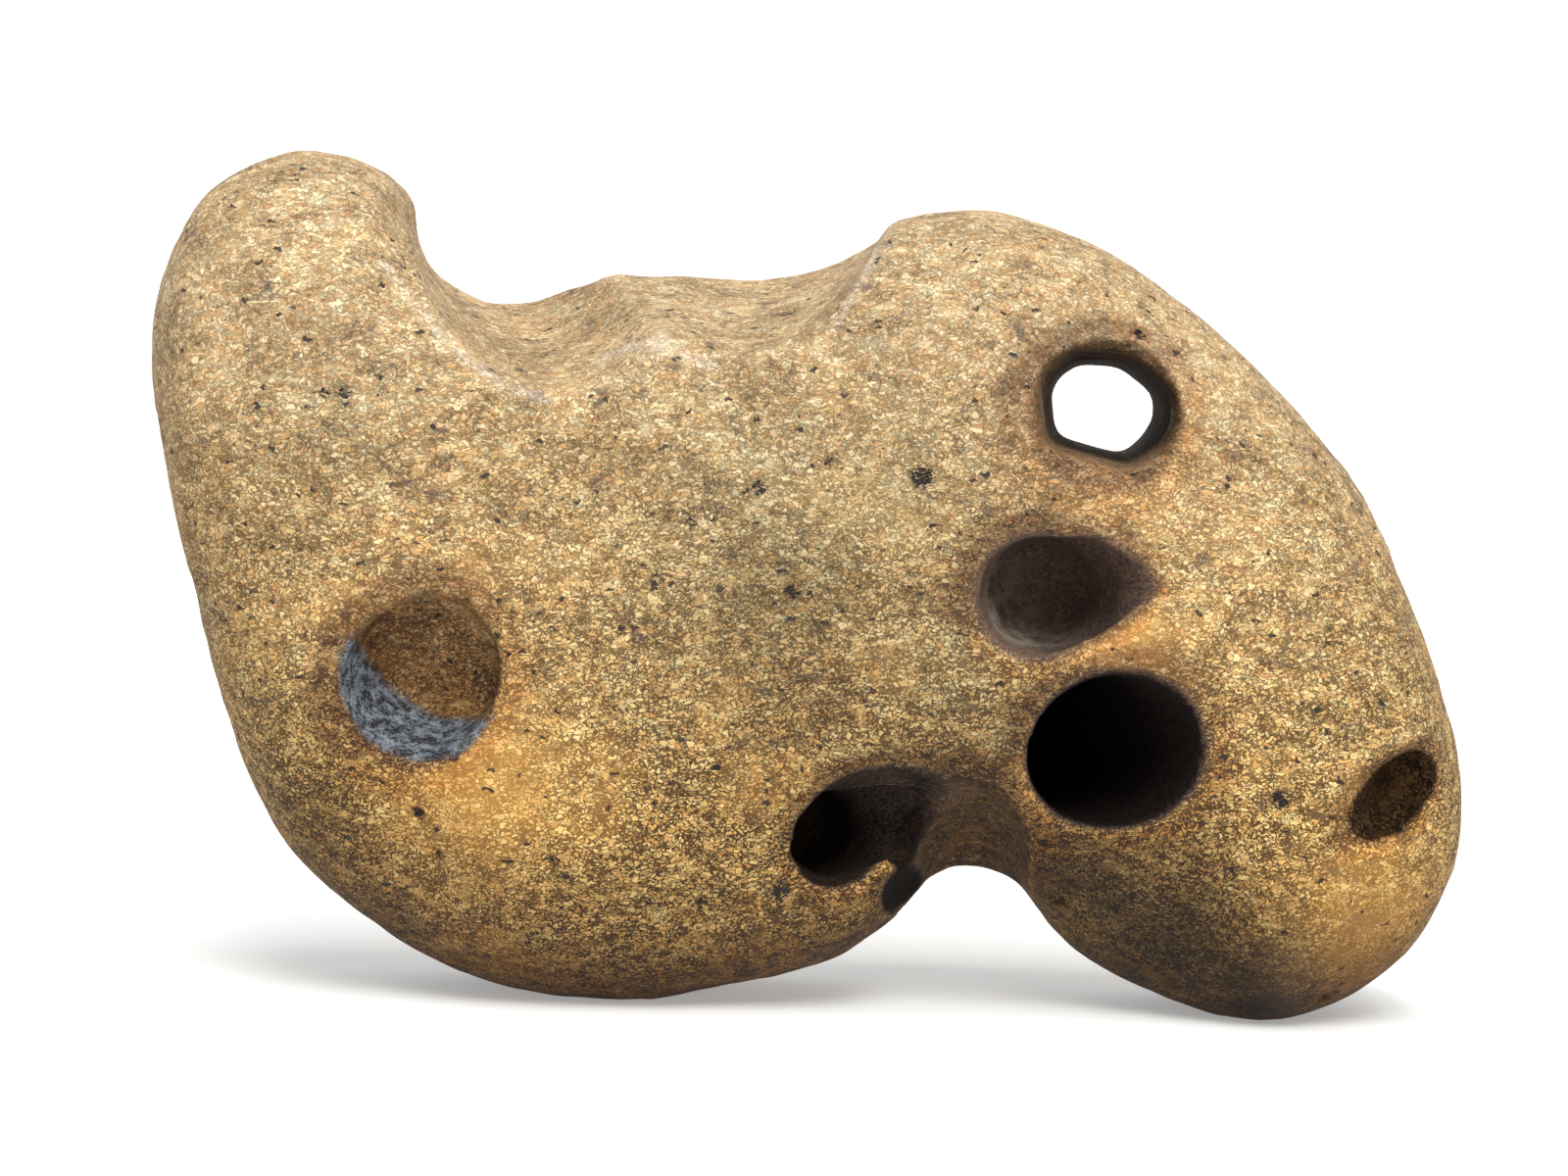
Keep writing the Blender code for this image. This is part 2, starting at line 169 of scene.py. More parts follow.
BURROW_STATIONS = 30
BURROW_SIDES = 48
DOME_STEPS = 7
DOME_TIP = 0.05
THROAT_CORNERS = [  # the through hole's cross-section: degrees from +X towards +Z, and share of its radius
    (-150, 1.09), (-68, 0.97), (-37, 0.96), (-8, 1.01), (21, 1.02), (73, 0.91), (121, 1.05), (145, 1.13),
    (162, 1.13),
]
BURROWS = {  # the inner end's bulge as a share of its radius; x, y, z and radius from the mouth inwards
    "through_hole": (0.0, [
        (26.8, -33.0, 57.9, 9.4), (28.0, -23.5, 58.9, 6.9), (29.0, -13.0, 59.6, 6.1),
        (30.4, 2.0, 60.6, 5.6), (31.9, 19.0, 61.7, 5.4), (33.4, 32.0, 62.7, 7.6),
    ]),
    "deep_burrow": (0.7, [
        (32.2, -34.0, 26.6, 8.4), (30.1, -25.0, 26.7, 7.5), (28.7, -19.0, 26.9, 7.2),
        (26.0, -10.0, 27.3, 7.2), (22.4, -1.0, 27.8, 7.2), (19.4, 6.0, 28.4, 6.8),
    ]),
    "egg_pocket": (0.7, [
        (21.2, -30.0, 41.0, 6.8), (21.9, -23.0, 41.3, 5.8), (22.4, -17.0, 41.6, 5.4),
        (23.0, -12.5, 41.9, 4.8),
    ]),
    "egg_pocket_slope": (0.7, [
        (32.4, -25.0, 42.8, 0.8), (29.9, -24.0, 42.6, 2.8), (26.6, -22.6, 42.2, 4.9),
        (23.8, -19.0, 41.8, 5.6), (23.0, -14.0, 41.8, 5.0),
    ]),
    "slanted_pocket": (0.15, [
        (-39.2, -32.5, 26.4, 7.6), (-37.1, -25.5, 30.2, 7.1), (-36.0, -22.1, 32.1, 7.0),
        (-34.9, -18.6, 34.0, 6.9),
    ]),
    "broken_burrow_slot": (0.7, [
        (15.5, -25.5, 21.6, 4.0), (11.0, -23.0, 20.7, 4.3), (6.8, -21.5, 19.4, 4.6),
        (3.9, -19.5, 17.9, 4.6), (2.2, -16.0, 17.2, 4.4),
    ]),
    "broken_burrow": (0.7, [
        (13.6, -14.2, 20.4, 3.6), (10.5, -14.8, 20.2, 4.0), (6.0, -14.5, 18.8, 4.5),
        (2.0, -11.0, 17.6, 4.5), (-0.6, -4.0, 17.8, 4.2),
    ]),
    "notch_ceiling": (0.3, [
        (14.8, -32.0, 20.8, 6.2), (15.6, -24.0, 18.9, 5.8), (17.2, -8.0, 13.8, 5.6),
        (18.8, 6.0, 7.4, 5.4), (20.2, 16.0, 3.8, 5.4),
    ]),
    "notch_ceiling_left": (0.3, [
        (12.0, -32.0, 20.8, 5.2), (12.4, -24.0, 19.8, 4.8), (13.8, -13.0, 16.8, 4.6),
    ]),
    "notch_side": (0.5, [
        (11.9, -27.0, 10.4, 4.2), (12.4, -16.0, 11.2, 4.1), (14.6, -6.0, 10.6, 4.0), (17.8, 4.0, 9.4, 3.8),
    ]),
    "left_scoop": (0.0, [
        (-23.6, -33.0, 69.6, 14.4), (-25.3, -23.0, 72.1, 12.6), (-28.6, -6.0, 76.6, 11.9),
        (-33.0, 10.0, 79.2, 9.3), (-36.4, 28.0, 82.2, 9.0),
    ]),
    "right_scoop": (0.0, [
        (-7.8, -33.0, 71.4, 12.4), (-7.3, -23.0, 74.8, 12.2), (-7.4, -6.0, 85.4, 17.0),
        (-6.6, 10.0, 93.0, 19.4), (-6.0, 28.0, 99.0, 22.0),
    ]),
    "middle_scoop": (0.0, [
        (-15.0, -33.0, 81.0, 16.0), (-15.0, -22.0, 81.8, 16.0), (-15.5, -10.0, 85.2, 16.5),
        (-16.0, 2.0, 89.4, 17.0), (-16.0, 28.0, 98.0, 22.0),
    ]),
    "side_dent": (0.7, [
        (53.8, -26.0, 19.8, 4.0), (56.6, -21.0, 22.4, 3.4), (58.4, -17.0, 25.0, 2.8),
    ]),
    "back_hollow": (0.2, [(-29.0, 40.0, 49.0, 12.0), (-28.0, 30.0, 46.0, 10.0), (-27.0, 22.0, 43.0, 6.5)]),
    "back_pit": (0.6, [(9.5, 32.0, 29.0, 6.0), (8.5, 23.5, 30.0, 4.4), (8.0, 20.0, 30.5, 3.6)]),
}


def burrow_line(dome, stations):
    """The middle line and radius at even steps. A domed end goes on by the sine of an angle as its radius
    shrinks with the cosine."""
    rows = smooth_rows(stations, BURROW_STATIONS)
    if dome == 0:
        return rows
    heading = rows[-1, :3] - rows[-2, :3]
    heading /= np.linalg.norm(heading)
    radius = rows[-1, 3]
    angle = np.linspace(0, np.pi / 2, DOME_STEPS)[1:]
    ahead = rows[-1, :3] + heading * radius * dome * np.sin(angle)[:, None]
    return np.vstack([rows, np.column_stack([ahead, radius * np.maximum(np.cos(angle), DOME_TIP)])])


def throat_shape(angle):
    """The share of the radius at each angle where the cross-section is a polygon: the distance along a ray
    to the chord between the two corners beside it."""
    degrees, share = np.array(THROAT_CORNERS, float).T
    degrees = np.append(degrees, degrees[0] + 360)
    share = np.append(share, share[0])
    corner = np.radians(degrees)
    place = np.mod(angle - corner[0], 2 * np.pi) + corner[0]
    after = np.clip(np.searchsorted(corner, place, side="right"), 1, len(corner) - 1)
    a, b = share[after - 1], share[after]
    u, v = place - corner[after - 1], corner[after] - place
    return a * b * np.sin(u + v) / (a * np.sin(u) + b * np.sin(v))


def burrow_surface(rows, shape):
    """A ring carried along a middle line: square to the line's heading, at the line's radius times the
    ring's shape, which is a share for each angle."""
    heading = np.gradient(rows[:, :3], axis=0)
    heading /= np.linalg.norm(heading, axis=1, keepdims=True)
    side = np.cross(heading, (0, 0, 1))
    side /= np.linalg.norm(side, axis=1, keepdims=True)
    over = np.cross(side, heading)
    angle = np.linspace(0, 2 * np.pi, BURROW_SIDES, endpoint=False)
    spoke = side[:, None] * np.cos(angle)[:, None] + over[:, None] * np.sin(angle)[:, None]
    return rows[:, None, :3] - BOX_MIDDLE + rows[:, None, 3:] * shape(angle)[:, None] * spoke


def round_shape(angle):
    """The share of the radius where the cross-section is a circle: 1 at every angle."""
    return np.ones_like(angle)


burrow_lines = {}
for name, (dome, stations) in BURROWS.items():
    burrow_lines[name] = burrow_line(dome, stations)
    shape = throat_shape if name == "through_hole" else round_shape
    borer = closed_skin(name + "_borer", burrow_surface(burrow_lines[name], shape))
    cut = pebble.modifiers.new(name, "BOOLEAN")
    cut.operation = "DIFFERENCE"
    cut.object = borer


# THE WORN STONE
# Years in the surf have rounded the rims, most of all those that face out, and left the lumps, grains and
# tiny pits of coarse sandstone. The bored pebble is remeshed evenly, eased, given its relief and set into
# the CAD stone's box, and each place on it keeps how far it is wall, rim, marked or worn, and how much
# painted shade and painted light it takes.

WEAR_VOXEL = 0.70
EASING = 0.5
WEAR_PASSES = 3
SOFT_PASSES = 18
BROAD_PASSES = 40
SOFT_RIMS = [  # x, y, z, reach of each place where a rim has all but gone
    (33.0, -22.0, 67.5, 6.0), (31.5, -22.0, 42.5, 3.0), (-29.5, -24.0, 33.5, 7.0),
    (18.5, -20.0, 22.0, 6.0), (-12.0, -18.0, 67.0, 12.0), (54.0, -20.0, 20.0, 6.0),
    (-40.0, 0.0, 76.0, 10.0), (23.0, -21.0, 17.0, 6.0), (8.6, -19.0, 15.6, 2.5),
]
FRONT_PITS = [  # x, z, radius, depth
    (-1.4, 41.1, 0.9, 0.9), (-5.3, 50.7, 0.9, 0.8), (-11.7, 47.4, 0.8, 0.7), (-23.4, 14.9, 0.8, 0.8),
    (-36.8, 18.8, 0.8, 0.7), (-14.5, 10.7, 0.8, 0.6), (-9.4, 11.0, 0.8, 0.7), (-34.4, 15.3, 0.7, 0.6),
    (-31.5, 14.6, 0.7, 0.6), (45.4, 22.5, 1.1, 0.8), (23.5, 17.4, 0.9, 0.6), (14.1, 37.2, 0.8, 0.6),
    (9.4, 41.7, 0.7, 0.6), (31.3, 66.9, 0.8, 0.8), (-46.8, 58.3, 0.9, 0.6), (-44.6, 58.6, 0.8, 0.6),
    (-48.2, 57.0, 0.7, 0.6), (10.0, 51.8, 1.5, 0.6), (11.5, 47.2, 1.2, 0.4), (-1.7, 12.3, 1.6, 0.5),
]
RELIEF = [(0.15, 13.0, 1.0), (0.13, 5.5, 1.0), (0.09, 2.6, 0.6), (0.06, 1.3, 0.6)]  # height, size, x share
WALL_END, WALL_FADE = 1.15, 0.12
RIM_PLACE, RIM_WIDTH = 1.25, 0.2
RIM_EVEN_SHADE = 0.35
UPPER_LEFT = np.array((-0.45, 0.0, 0.89))
UPPER_RIGHT = np.array((0.5, 0.0, 0.87))
FAR = 9.0
GLOOM_END, GLOOM_EDGE = 1.10, 0.07
GLOOM_DEPTH = 2.0
GLOOM_FADE = 5.0
LIT_GAIN, LIT_MOST = 2.5, 0.95
BURROW_PAINTED_SHADE = {  # painted shade on each burrow's walls: how dark, how grey, the y where both begin, and the x where both have faded out
    "through_hole": (0.6, 0.0, -23.0, 99.0), "deep_burrow": (0.92, 0.8, -26.5, 99.0),
    "egg_pocket": (0.0, 0.45, -25.0, 99.0), "egg_pocket_slope": (0.45, 0.6, -25.6, 99.0),
    "slanted_pocket": (0.0, 0.0, 0.0, 99.0), "broken_burrow_slot": (0.78, 0.5, -26.5, 16.5),
    "broken_burrow": (0.80, 0.8, -26.5, 16.5), "notch_ceiling": (0.4, 0.1, -23.0, 99.0),
    "notch_ceiling_left": (0.90, 0.5, -27.5, 16.5), "notch_side": (0.95, 0.6, -23.0, 99.0),
    "side_dent": (0.85, 0.0, -25.0, 99.0),
}
# The slanted pocket's lower wall is painted blue-grey: painted bluish skylight on a wall in shade.
SKYLIGHT_POCKET = (-36.1, 31.8, 8.1)  # x, z, radius of the slanted pocket's mouth, which the painted skylight stays in
SKYLIGHT_FLOOR = (-33.2, 37.6, 9.7)  # x, z, radius of the disc of floor that the painted skylight leaves bare
SKYLIGHT_EDGE = 0.4
SKYLIGHT_FACING = 0.3
WORN_HIGHLIGHT_LINES = [  # x, z at one end and the other, half width: pale worn scratches along the front lip of the dip, also a painted highlight on its crease
    (-42.0, 71.5, -36.0, 64.2, 0.30), (-36.0, 64.2, -29.5, 59.4, 0.35), (-29.5, 59.4, -25.0, 58.4, 0.35),
    (-21.0, 62.9, -16.7, 64.4, 0.5), (-16.7, 64.4, -10.0, 62.2, 0.5), (1.4, 66.0, 3.4, 69.7, 0.3),
    (3.4, 69.7, 5.6, 74.3, 0.3),
]
MARKS = {  # x, y, z, reach of each spot with painted shade on the foot, duller, greyer, warmer, painted lighter on a pocket wall, or with painted glints
    "painted_foot_shade": [
        (28.0, -19.0, 10.0, 8.0), (35.0, -20.0, 6.0, 10.5), (42.0, -20.0, 3.0, 8.5),
        (45.0, -16.0, 0.0, 7.0),
    ],
    "dull": [(-2.0, -24.0, 31.0, 13.0), (16.0, -24.0, 27.0, 6.0), (52.0, -8.0, 30.0, 11.0)],
    "grey": [
        (-2.0, -24.0, 46.0, 15.0), (8.0, -24.0, 50.0, 9.0), (-46.0, -20.0, 56.0, 6.0),
        (13.0, -24.0, 33.0, 9.0),
    ],
    "warm": [(54.0, -16.0, 10.0, 9.0), (31.0, -24.0, 36.5, 4.0), (-30.0, -23.0, 22.0, 8.0)],
    "painted_wall_light": [(20.5, -15.0, 40.0, 4.0)],
    "glint": [(23.1, -17.0, 59.4, 1.5), (34.0, -16.0, 58.9, 1.2)],
}
# The top is painted lighter and greyer, with fainter dark gaps: painted light.
LIGHTER_FROM, LIGHTER_OVER = 20.0, 45.0
FULL_CREST = 0.8
FULL_PIT = 0.5
# Skin that faces down is painted darker: painted shade.
UNDER_FROM, UNDER_OVER = 0.1, 0.7
WALL_SMOOTHNESS = 0.4
FRONT_FACING = -0.3
SCATTERED_PITS = 110
PIT_SEED = 11
PIT_RADII = (0.45, 0.85)
PIT_SHARES = (0.5, 0.9)
HASH_FACTORS = (73856093, 19349663, 83492791)
HASH_SEED_STEP = 2654435
HASH_MIX = 1274126177


def lattice_noise(points, size, seed):
    """Smooth noise from -1 to 1. Each corner of a cubic lattice has a value hashed from its place, and a
    point's value blends its cell's corners by the fade 6t^5 - 15t^4 + 10t^3 of the place in the cell."""
    place = points / size
    cell = np.floor(place).astype(np.int64)
    t = place - cell
    fade = t**3 * (t * (t * 6 - 15) + 10)
    total = np.zeros(len(points))
    for corner in np.ndindex(2, 2, 2):
        mixed = ((cell + corner) * HASH_FACTORS).sum(axis=1) + seed * HASH_SEED_STEP
        mixed = (mixed ^ (mixed >> 13)) * HASH_MIX & 0x7FFFFFFF
        mixed = mixed ^ (mixed >> 15)
        total += np.prod(np.where(corner, fade, 1 - fade), axis=1) * ((mixed & 0xFFFF) / 32767.5 - 1)
    return total


def eased(points, edges, softness, passes):
    """Points after some passes. Each pass moves a point towards its neighbours' mean by its softness."""
    first, second = edges.T
    count = np.bincount(edges.ravel(), minlength=len(points))[:, None]
    for _ in range(passes):
        total = np.zeros_like(points)
        for axis in range(3):
            total[:, axis] = np.bincount(first, points[second, axis], len(points))
            total[:, axis] += np.bincount(second, points[first, axis], len(points))
        points = points + softness[:, None] * (total / count - points)
    return points


def near_spots(points, spots):
    """How near each point lies to the nearest spot: the greatest of exp(-(distance / reach) squared)."""
    nearness = np.zeros(len(points))
    for *place, reach in spots:
        square = ((points - place) ** 2).sum(axis=1)
        nearness = np.maximum(nearness, np.exp(-square / reach**2))
    return nearness


def read_points(mesh):
    """Every vertex's place in millimetres."""
    flat = np.empty(len(mesh.vertices) * 3, np.float32)
    mesh.vertices.foreach_get("co", flat)
    return flat.reshape(-1, 3).astype(float) / MM


def write_points(mesh, points):
    """Moves every vertex to its place given in millimetres."""
    mesh.vertices.foreach_set("co", (points * MM).astype(np.float32).ravel())
    mesh.update()


def read_normals(mesh):
    """Every vertex's outward direction, of length 1."""
    flat = np.empty(len(mesh.vertices) * 3, np.float32)
    mesh.vertex_normals.foreach_get("vector", flat)
    return flat.reshape(-1, 3).astype(float)


def relief(points, pit_depth):
    """How far the skin stands out: lattice noise at four sizes, from broad lumps to single grains, less the
    pits."""
    out = np.zeros(len(points))
    for seed, (height, size, share) in enumerate(RELIEF, start=1):
        out += height * lattice_noise(points * (share, 1.0, 1.0), size, seed)
    return out - pit_depth


def pit_depths(points, pits):
    """The deepest of the pits at each point: depth times exp(-(distance / radius) to the fourth)."""
    deepest = np.zeros(len(points))
    for x, y, z, radius, depth in pits:
        square = ((points - (x, y, z)) ** 2).sum(axis=1) / radius**2
        deepest = np.maximum(deepest, depth * np.exp(-square**2))
    return deepest


def wall_shares(points):
    """Five shares, from the distance to each burrow's middle line in radii: 1 on a wall, fading to 0 just
    outside it; a bell curve over the rim round it, for the rim's upper left, where shade is painted, and
    for the rest of it; and a wall share that deepens with y and ends at a given x, times how dark, and how
    grey, that burrow's painted shade is. The through hole's lower left wall, which faces the light, stays
    light, by the cosine of the angle to the upper right."""
    nearest = np.full(len(points), FAR)
    above = np.zeros(len(points))
    painted_shade = np.zeros(len(points))
    painted_grey_shade = np.zeros(len(points))
    for name, (dark, greying, start, end_x) in BURROW_PAINTED_SHADE.items():
        own = np.full(len(points), FAR)
        lit = np.zeros(len(points))
        for x, y, z, radius in burrow_lines[name]:
            offset = points - (x, y, z) + BOX_MIDDLE
            distance = np.linalg.norm(offset, axis=1)
            closer = distance / radius < nearest
            above[closer] = (offset @ UPPER_LEFT / distance)[closer]
            closer = distance / radius < own
            lit[closer] = -(offset @ UPPER_RIGHT / distance)[closer]
            own = np.minimum(own, distance / radius)
            nearest = np.minimum(nearest, own)
        inner = np.clip((points[:, 1] - start) / GLOOM_DEPTH, 0, 1)
        inner *= np.clip((GLOOM_END - own) / GLOOM_EDGE, 0, 1)
        inner *= np.clip((end_x - points[:, 0]) / GLOOM_FADE, 0, 1)
        if name == "through_hole":
            inner *= 1 - np.clip(lit * LIT_GAIN, 0, LIT_MOST)
        painted_shade = np.maximum(painted_shade, dark * inner)
        painted_grey_shade = np.maximum(painted_grey_shade, greying * inner)
    wall = np.clip((WALL_END - nearest) / WALL_FADE, 0, 1)
    rim = np.exp(-(((nearest - RIM_PLACE) / RIM_WIDTH) ** 2))
    shaded = np.clip(RIM_EVEN_SHADE + above, 0, 1)
    return wall, rim * shaded, rim * (1 - shaded), painted_shade, painted_grey_shade


def disc_distance(points, disc):
    """How far each point's x and z lie outside a disc, below 0 inside it."""
    x, z, radius = disc
    return np.hypot(points[:, 0] - x, points[:, 2] - z) - radius


def near_lines(points, lines):
    """How near each point's x and z lie to the nearest line: the greatest of exp(-(distance / half width)
    squared), the distance taken to the closest place on the line between its ends."""
    nearness = np.zeros(len(points))
    flat = points[:, (0, 2)]
    for *ends, half_width in lines:
        start, end = np.array(ends[:2]), np.array(ends[2:])
        along = np.clip((flat - start) @ (end - start) / ((end - start) ** 2).sum(), 0, 1)
        square = ((flat - start - along[:, None] * (end - start)) ** 2).sum(axis=1)
        nearness = np.maximum(nearness, np.exp(-square / half_width**2))
    return nearness


def keep_attribute(mesh, name, values):
    """Stores one number at each vertex, for the material to read."""
    layer = mesh.attributes.new(name, "FLOAT", "POINT")
    layer.data.foreach_set("value", values.astype(np.float32))


# The bored pebble becomes one even mesh, and the solids that it was made from go.
even = pebble.modifiers.new("even", "REMESH")
even.mode = "VOXEL"
even.voxel_size = WEAR_VOXEL * MM
graph = bpy.context.evaluated_depsgraph_get()
skin = bpy.data.meshes.new_from_object(pebble.evaluated_get(graph))
for item in [pebble] + [cut.object for cut in pebble.modifiers if cut.type == "BOOLEAN"]:
    bpy.data.objects.remove(item)

# All rims are worn a little, and the soft ones almost away.
points = read_points(skin)
edges = np.empty(len(skin.edges) * 2, np.int32)
skin.edges.foreach_get("vertices", edges)
edges = edges.reshape(-1, 2)
points = eased(points, edges, np.full(len(points), EASING), WEAR_PASSES)
points = eased(points, edges, EASING * near_spots(points, SOFT_RIMS), SOFT_PASSES)
write_points(skin, points)
normals = read_normals(skin)

# Pits: those at given places on the front, and others strewn by chance.
rng = np.random.default_rng(PIT_SEED)
chosen = points[rng.choice(len(points), SCATTERED_PITS, replace=False)]
radii = rng.uniform(*PIT_RADII, SCATTERED_PITS)
scattered = np.column_stack([chosen, radii, radii * rng.uniform(*PIT_SHARES, SCATTERED_PITS)])
front = points[normals[:, 1] < FRONT_FACING]
front_pits = []
for x, z, radius, depth in FRONT_PITS:
    nearest = front[np.argmin((front[:, 0] - x) ** 2 + (front[:, 2] - z) ** 2)]
    front_pits.append((*nearest, radius, depth))
pit_depth = pit_depths(points, front_pits + scattered.tolist())

# The relief moves the skin out and in, and then the whole fits the CAD stone's box.
wall, rim_shade, rim_glow, painted_shade, painted_grey_shade = wall_shares(points)
broad = eased(points, edges, np.full(len(points), EASING), BROAD_PASSES)
crest = ((points - broad) * normals).sum(axis=1)
points += normals * (relief(points, pit_depth) * (1 - WALL_SMOOTHNESS * wall))[:, None]
points[:, 2] = np.maximum(points[:, 2], 0)
low, high = np.array(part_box("stone")) / MM
own_low, own_high = points.min(axis=0), points.max(axis=0)
points = low + (points - own_low) * (high - low) / (own_high - own_low)
write_points(skin, points)

# What each place on the skin keeps for the material.
skin.name = "worn_stone"
keep_attribute(skin, "wall", wall)
# Painted shade: how much darker each burrow wall is drawn, deepening inwards.
keep_attribute(skin, "painted_shade", painted_shade)
# Painted shade that turns burrow walls a dull grey.
keep_attribute(skin, "painted_grey_shade", painted_grey_shade)
# Painted light: the share of height up the stone.
keep_attribute(skin, "height", np.clip((points[:, 2] - LIGHTER_FROM) / LIGHTER_OVER, 0, 1))
# Painted shade on undersides, from how far the normal points down.
keep_attribute(skin, "underside_shade", np.clip((-normals[:, 2] - UNDER_FROM) / UNDER_OVER, 0, 1) * (1 - wall))
keep_attribute(skin, "crest", np.clip(crest / FULL_CREST, -1, 1) * (1 - rim_shade - rim_glow) * (1 - wall))
keep_attribute(skin, "rim_shade", rim_shade)
keep_attribute(skin, "rim_glow", rim_glow)
keep_attribute(skin, "worn_highlight_line", near_lines(points, WORN_HIGHLIGHT_LINES) * (normals[:, 1] < 0))
mark_share = {"warm": 1 - wall, "painted_wall_light": wall}
for name, spots in MARKS.items():
    keep_attribute(skin, name, near_spots(points, spots) * mark_share.get(name, 1.0))
keep_attribute(skin, "pit", np.clip(pit_depth / FULL_PIT, 0, 1))
in_pocket = np.clip(-disc_distance(points, SKYLIGHT_POCKET) / SKYLIGHT_EDGE, 0, 1)
off_floor = np.clip(disc_distance(points, SKYLIGHT_FLOOR) / SKYLIGHT_EDGE, 0, 1)
# Painted skylight and shade on the slanted pocket's lower wall.
keep_attribute(skin, "painted_skylight", wall * in_pocket * off_floor * (normals[:, 1] < SKYLIGHT_FACING))
skin.shade_smooth()
stone = bpy.data.objects.new("worn_stone", skin)
bpy.context.scene.collection.objects.link(stone)


# THE SANDSTONE
# Straw, ochre and brown sand grains about half a millimetre across, cemented with iron, with scattered
# black grains and grey-violet patches. Rims are stained orange, with painted shade on their upper left;
# burrow walls carry painted shade, darker and greyer; one pocket's lower wall carries painted bluish
# skylight; worn crests are paler; and painted light and shade make the top lighter and the undersides and
# foot darker.


def tone(red, green, blue):
    """A colour given as screen values from 0 to 255, made linear."""
    share = np.array([red, green, blue]) / 255
    return (*np.where(share <= 0.04045, share / 12.92, ((share + 0.055) / 1.055) ** 2.4), 1.0)


STRAW = tone(240, 214, 170)
PALE_GRAIN = tone(246, 228, 190)
OCHRE = tone(216, 181, 130)
TAN = tone(178, 144, 102)
UMBER = tone(78, 56, 34)
GREEN_GRAIN = tone(168, 164, 134)
RUSTY_GRAIN = tone(214, 154, 100)
BLACK_GRAIN = tone(30, 26, 28)
LICHEN_CREAM = tone(232, 226, 190)
VIOLET_GREY = tone(84, 72, 74)
WARM_PATCH = tone(232, 182, 112)
CREAM = tone(226, 210, 184)
WORN_HIGHLIGHT_WHITE = tone(236, 226, 220)
PAINTED_WALL_LIGHT_GREY = tone(206, 194, 180)
GLINT_WHITE = tone(232, 236, 238)
SKYLIGHT_BLUE = tone(132, 142, 152)
SKYLIGHT_DARK = tone(30, 34, 42)
# Greys for the painted shade on burrow walls.
SHADE_GREY = tone(124, 108, 104)
SHADE_GREY_DARK = tone(58, 50, 52)
LOW_TONE = tone(241, 230, 191)
HIGH_TONE = tone(234, 232, 230)
MOTTLE = tone(188, 182, 170)
GREY_TONE = tone(228, 236, 244)
DULL_TONE = tone(212, 208, 206)
UNDERSIDE_SHADE_TONE = tone(138, 120, 100)
RIM_STAIN = tone(236, 198, 152)
RIM_SHADE = tone(150, 126, 116)
FOOT_SHADE = tone(68, 56, 46)
WALL_SHADE = tone(190, 175, 170)
DEEP_SHADE = tone(20, 18, 24)
FLOW_SIZE, FLOW_REACH = 5.0, 1.8
JITTER_SIZE, JITTER_REACH = 0.6, 0.9
LIE_ANGLE = -4.0
LIE_SHARES = (0.62, 0.8, 1.0)
FINE_SIZE = 0.22
GRAIN_SIZE = 0.40
SPECK_SIZE = 0.9
SKYLIGHT_SIZE = 0.9
STROKE_SIZE, STROKE_REACH = 0.95, 1.1
CLUMP_SIZE = 1.3
PATCH_SIZE = 2.2
MOTTLE_SIZE = 10.0
BUMP_STRENGTH = 0.8
BUMP_HEIGHT = 0.00018
ROUGHNESS = 0.82
OPEN_SHINE, DEEP_SHINE = 0.3, 0.04

sandstone = bpy.data.materials.new("ochre_sandstone")
sandstone.use_nodes = True
tree = sandstone.node_tree
surface = tree.nodes["Principled BSDF"]


def feed(socket, value):
    """Gives a socket a value, or links another node's output to it."""
    if isinstance(value, bpy.types.NodeSocket):
        tree.links.new(value, socket)
    else:
        socket.default_value = value


def add(kind, settings=(), **inputs):
    """A new node. settings are its own properties, and an input is a value or another node's output."""
    node = tree.nodes.new(kind)
    for key, value in dict(settings).items():
        setattr(node, key, value)
    for key, value in inputs.items():
        feed(node.inputs[key.replace("_", " ")], value)
    return node


def blend(factor, first, second, mode="MIX"):
    """Two colours mixed by a factor."""
    node = add("ShaderNodeMix", {"data_type": "RGBA", "blend_type": mode})
    for socket, value in zip((node.inputs[0], node.inputs[6], node.inputs[7]), (factor, first, second)):
        feed(socket, value)
    return node.outputs[2]


def spread(value, low, high, out_low=0.0, out_high=1.0):
    """A value stretched from one range to another and held within it."""
    node = add(
        "ShaderNodeMapRange", Value=value, From_Min=low, From_Max=high, To_Min=out_low, To_Max=out_high
    )
    return node.outputs["Result"]


def combined(first, second, operation):
    """Two values added or multiplied."""
    node = add("ShaderNodeMath", {"operation": operation})
    feed(node.inputs[0], first)
    feed(node.inputs[1], second)
    return node.outputs[0]


def product(first, second):
    """Two values multiplied."""
    return combined(first, second, "MULTIPLY")


def ramp(value, stops):
    """The colour that a value has between stops, each a position and a colour."""
    node = add("ShaderNodeValToRGB", Fac=value)
    elements = node.color_ramp.elements
    while len(elements) < len(stops):
        elements.new(0.5)
    for element, (position, colour) in zip(elements, stops):
        element.position = position
        element.color = colour
    return node.outputs["Color"]


def noise_node(vector, size, **inputs):
    """Noise whose largest marks are about size millimetres across."""
    return add("ShaderNodeTexNoise", Vector=vector, Scale=1 / size, **inputs)


def noise(vector, size, detail, roughness):
    """The value of such noise, which adds finer marks by its detail and roughness."""
    return noise_node(vector, size, Detail=detail, Roughness=roughness).outputs["Fac"]


def cells(vector, size, feature="F1"):
    """Cells about size millimetres across, each with its own random colour."""
    return add("ShaderNodeTexVoronoi", {"feature": feature}, Vector=vector, Scale=1 / size)


def channel(colour, name):
    """The red, green or blue of a colour."""
    return add("ShaderNodeSeparateColor", Color=colour).outputs[name]


